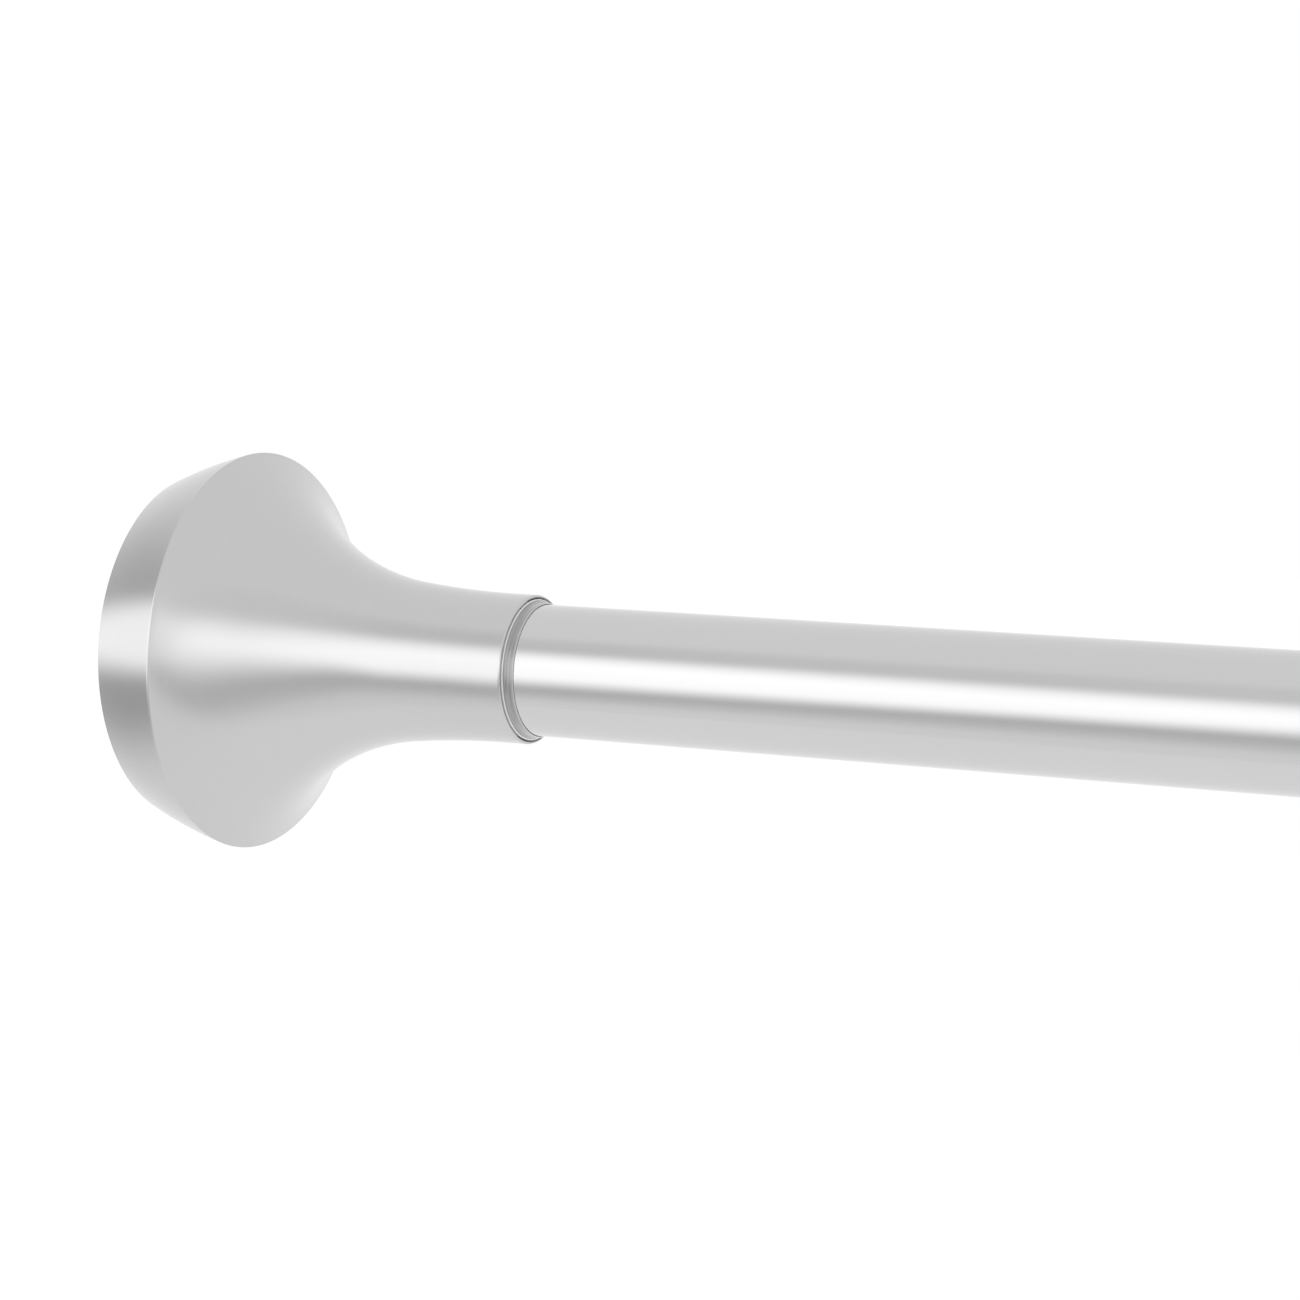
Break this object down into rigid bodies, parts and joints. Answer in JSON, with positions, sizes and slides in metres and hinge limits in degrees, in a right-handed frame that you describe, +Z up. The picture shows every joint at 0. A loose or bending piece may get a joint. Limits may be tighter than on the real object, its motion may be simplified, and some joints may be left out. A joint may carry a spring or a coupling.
{
  "type": "extendable curtain rod",
  "caption": "Telescopic tension curtain rod with a twist lock, a sprung rubber foot and flared sliding end covers in satin steel.",
  "frame": {"origin": "centre of the left foot pad's face, where it bears on the left wall", "axes": "+X along the rod from the left wall to the right wall, +Z up"},
  "size_m": [0.66, 0.0796, 0.0796],
  "materials": {
    "satin_steel": "satin stainless steel with fine lengthwise brushing",
    "collar_plastic": "moulded grey plastic",
    "bush_plastic": "moulded grey plastic",
    "grey_plastic": "moulded grey plastic",
    "foot_rubber": "matt black rubber",
    "white_nylon": "moulded nylon",
    "zinc_steel": "zinc plated steel",
    "spring_steel": "drawn spring wire"
  },
  "bodies": {
    "outer_tube": {"outer_tube": "satin_steel", "outer_tube_collar": "collar_plastic", "left_end_plug": "grey_plastic", "left_foot_plate": "grey_plastic", "left_foot_pad": "foot_rubber", "left_foot_screw": "zinc_steel"},
    "left_cover": {"left_cover": "satin_steel", "left_neck_bush": "bush_plastic"},
    "grip": {"grip_sleeve": "white_nylon", "grip_ring": "foot_rubber", "thrust_washer": "zinc_steel"},
    "cone": {"cone_nut": "white_nylon"},
    "inner_tube": {"inner_tube": "satin_steel", "lock_plug": "grey_plastic", "lock_screw": "zinc_steel", "stop_nut": "zinc_steel", "spring_seat": "grey_plastic", "guide_plug": "grey_plastic", "foot_spring": "spring_steel"},
    "plunger": {"plunger": "zinc_steel", "right_foot_screw": "zinc_steel"},
    "right_foot": {"right_foot_plate": "grey_plastic", "right_foot_pad": "foot_rubber"},
    "right_cover": {"right_cover": "satin_steel", "right_neck_bush": "bush_plastic"}
  },
  "joints": [
    {"name": "telescope", "type": "slide", "parent": "outer_tube", "child": "grip", "axis": [1, 0, 0], "range_m": [-0.05, 0.254]},
    {"name": "twist_lock", "type": "hinge", "parent": "grip", "child": "inner_tube", "pos_m": [0.135, 0, 0], "axis": [-1, 0, 0], "range_deg": [0, 360]},
    {"name": "cone_draw", "type": "slide", "parent": "grip", "child": "cone", "axis": [1, 0, 0], "range_m": [0, 0.003]},
    {"name": "foot_plunge", "type": "slide", "parent": "inner_tube", "child": "plunger", "axis": [-1, 0, 0], "range_m": [0, 0.012], "stiffness_N_per_m": 1800, "springref_m": -0.015, "deforming": ["foot_spring"]},
    {"name": "foot_swivel", "type": "hinge", "parent": "plunger", "child": "right_foot", "pos_m": [0.65, 0, 0], "axis": [1, 0, 0], "continuous": true},
    {"name": "left_cover_slide", "type": "slide", "parent": "outer_tube", "child": "left_cover", "axis": [1, 0, 0], "range_m": [0, 0.4]},
    {"name": "right_cover_slide", "type": "slide", "parent": "inner_tube", "child": "right_cover", "axis": [-1, 0, 0], "range_m": [0, 0.04]}
  ],
  "couplings": [
    {"joint": "cone_draw", "follows": "twist_lock", "m_per_rad": 0.00047745}
  ]
}
